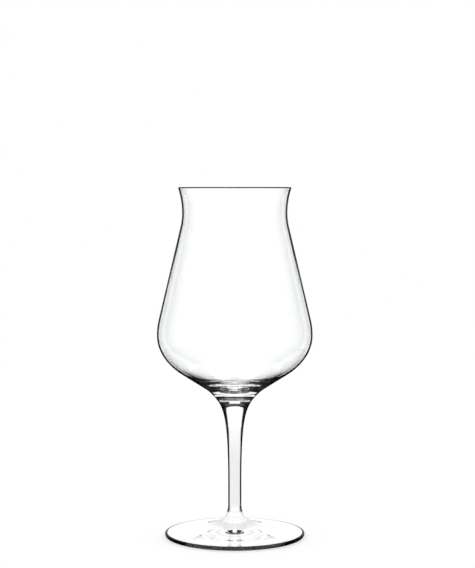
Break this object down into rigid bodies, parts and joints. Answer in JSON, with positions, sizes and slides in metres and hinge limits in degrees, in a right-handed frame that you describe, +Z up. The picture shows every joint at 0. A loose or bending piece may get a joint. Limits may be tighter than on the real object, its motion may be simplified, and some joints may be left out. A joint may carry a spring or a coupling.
{
  "type": "tulip beer glass",
  "caption": "Stemmed tulip beer glass of clear crystal: rounded belly, tapering side, narrow neck and flared lip, on a slim stem and a round foot.",
  "frame": {"origin": "centre of the ring that the foot rests on", "axes": "+Z up, along the axis of the stem and bowl; every direction across it is alike"},
  "size_m": [0.087, 0.087, 0.196],
  "materials": {
    "clear_crystal": "polished"
  },
  "bodies": {
    "root": {"bowl": "clear_crystal", "stem": "clear_crystal", "foot": "clear_crystal"}
  },
  "joints": []
}
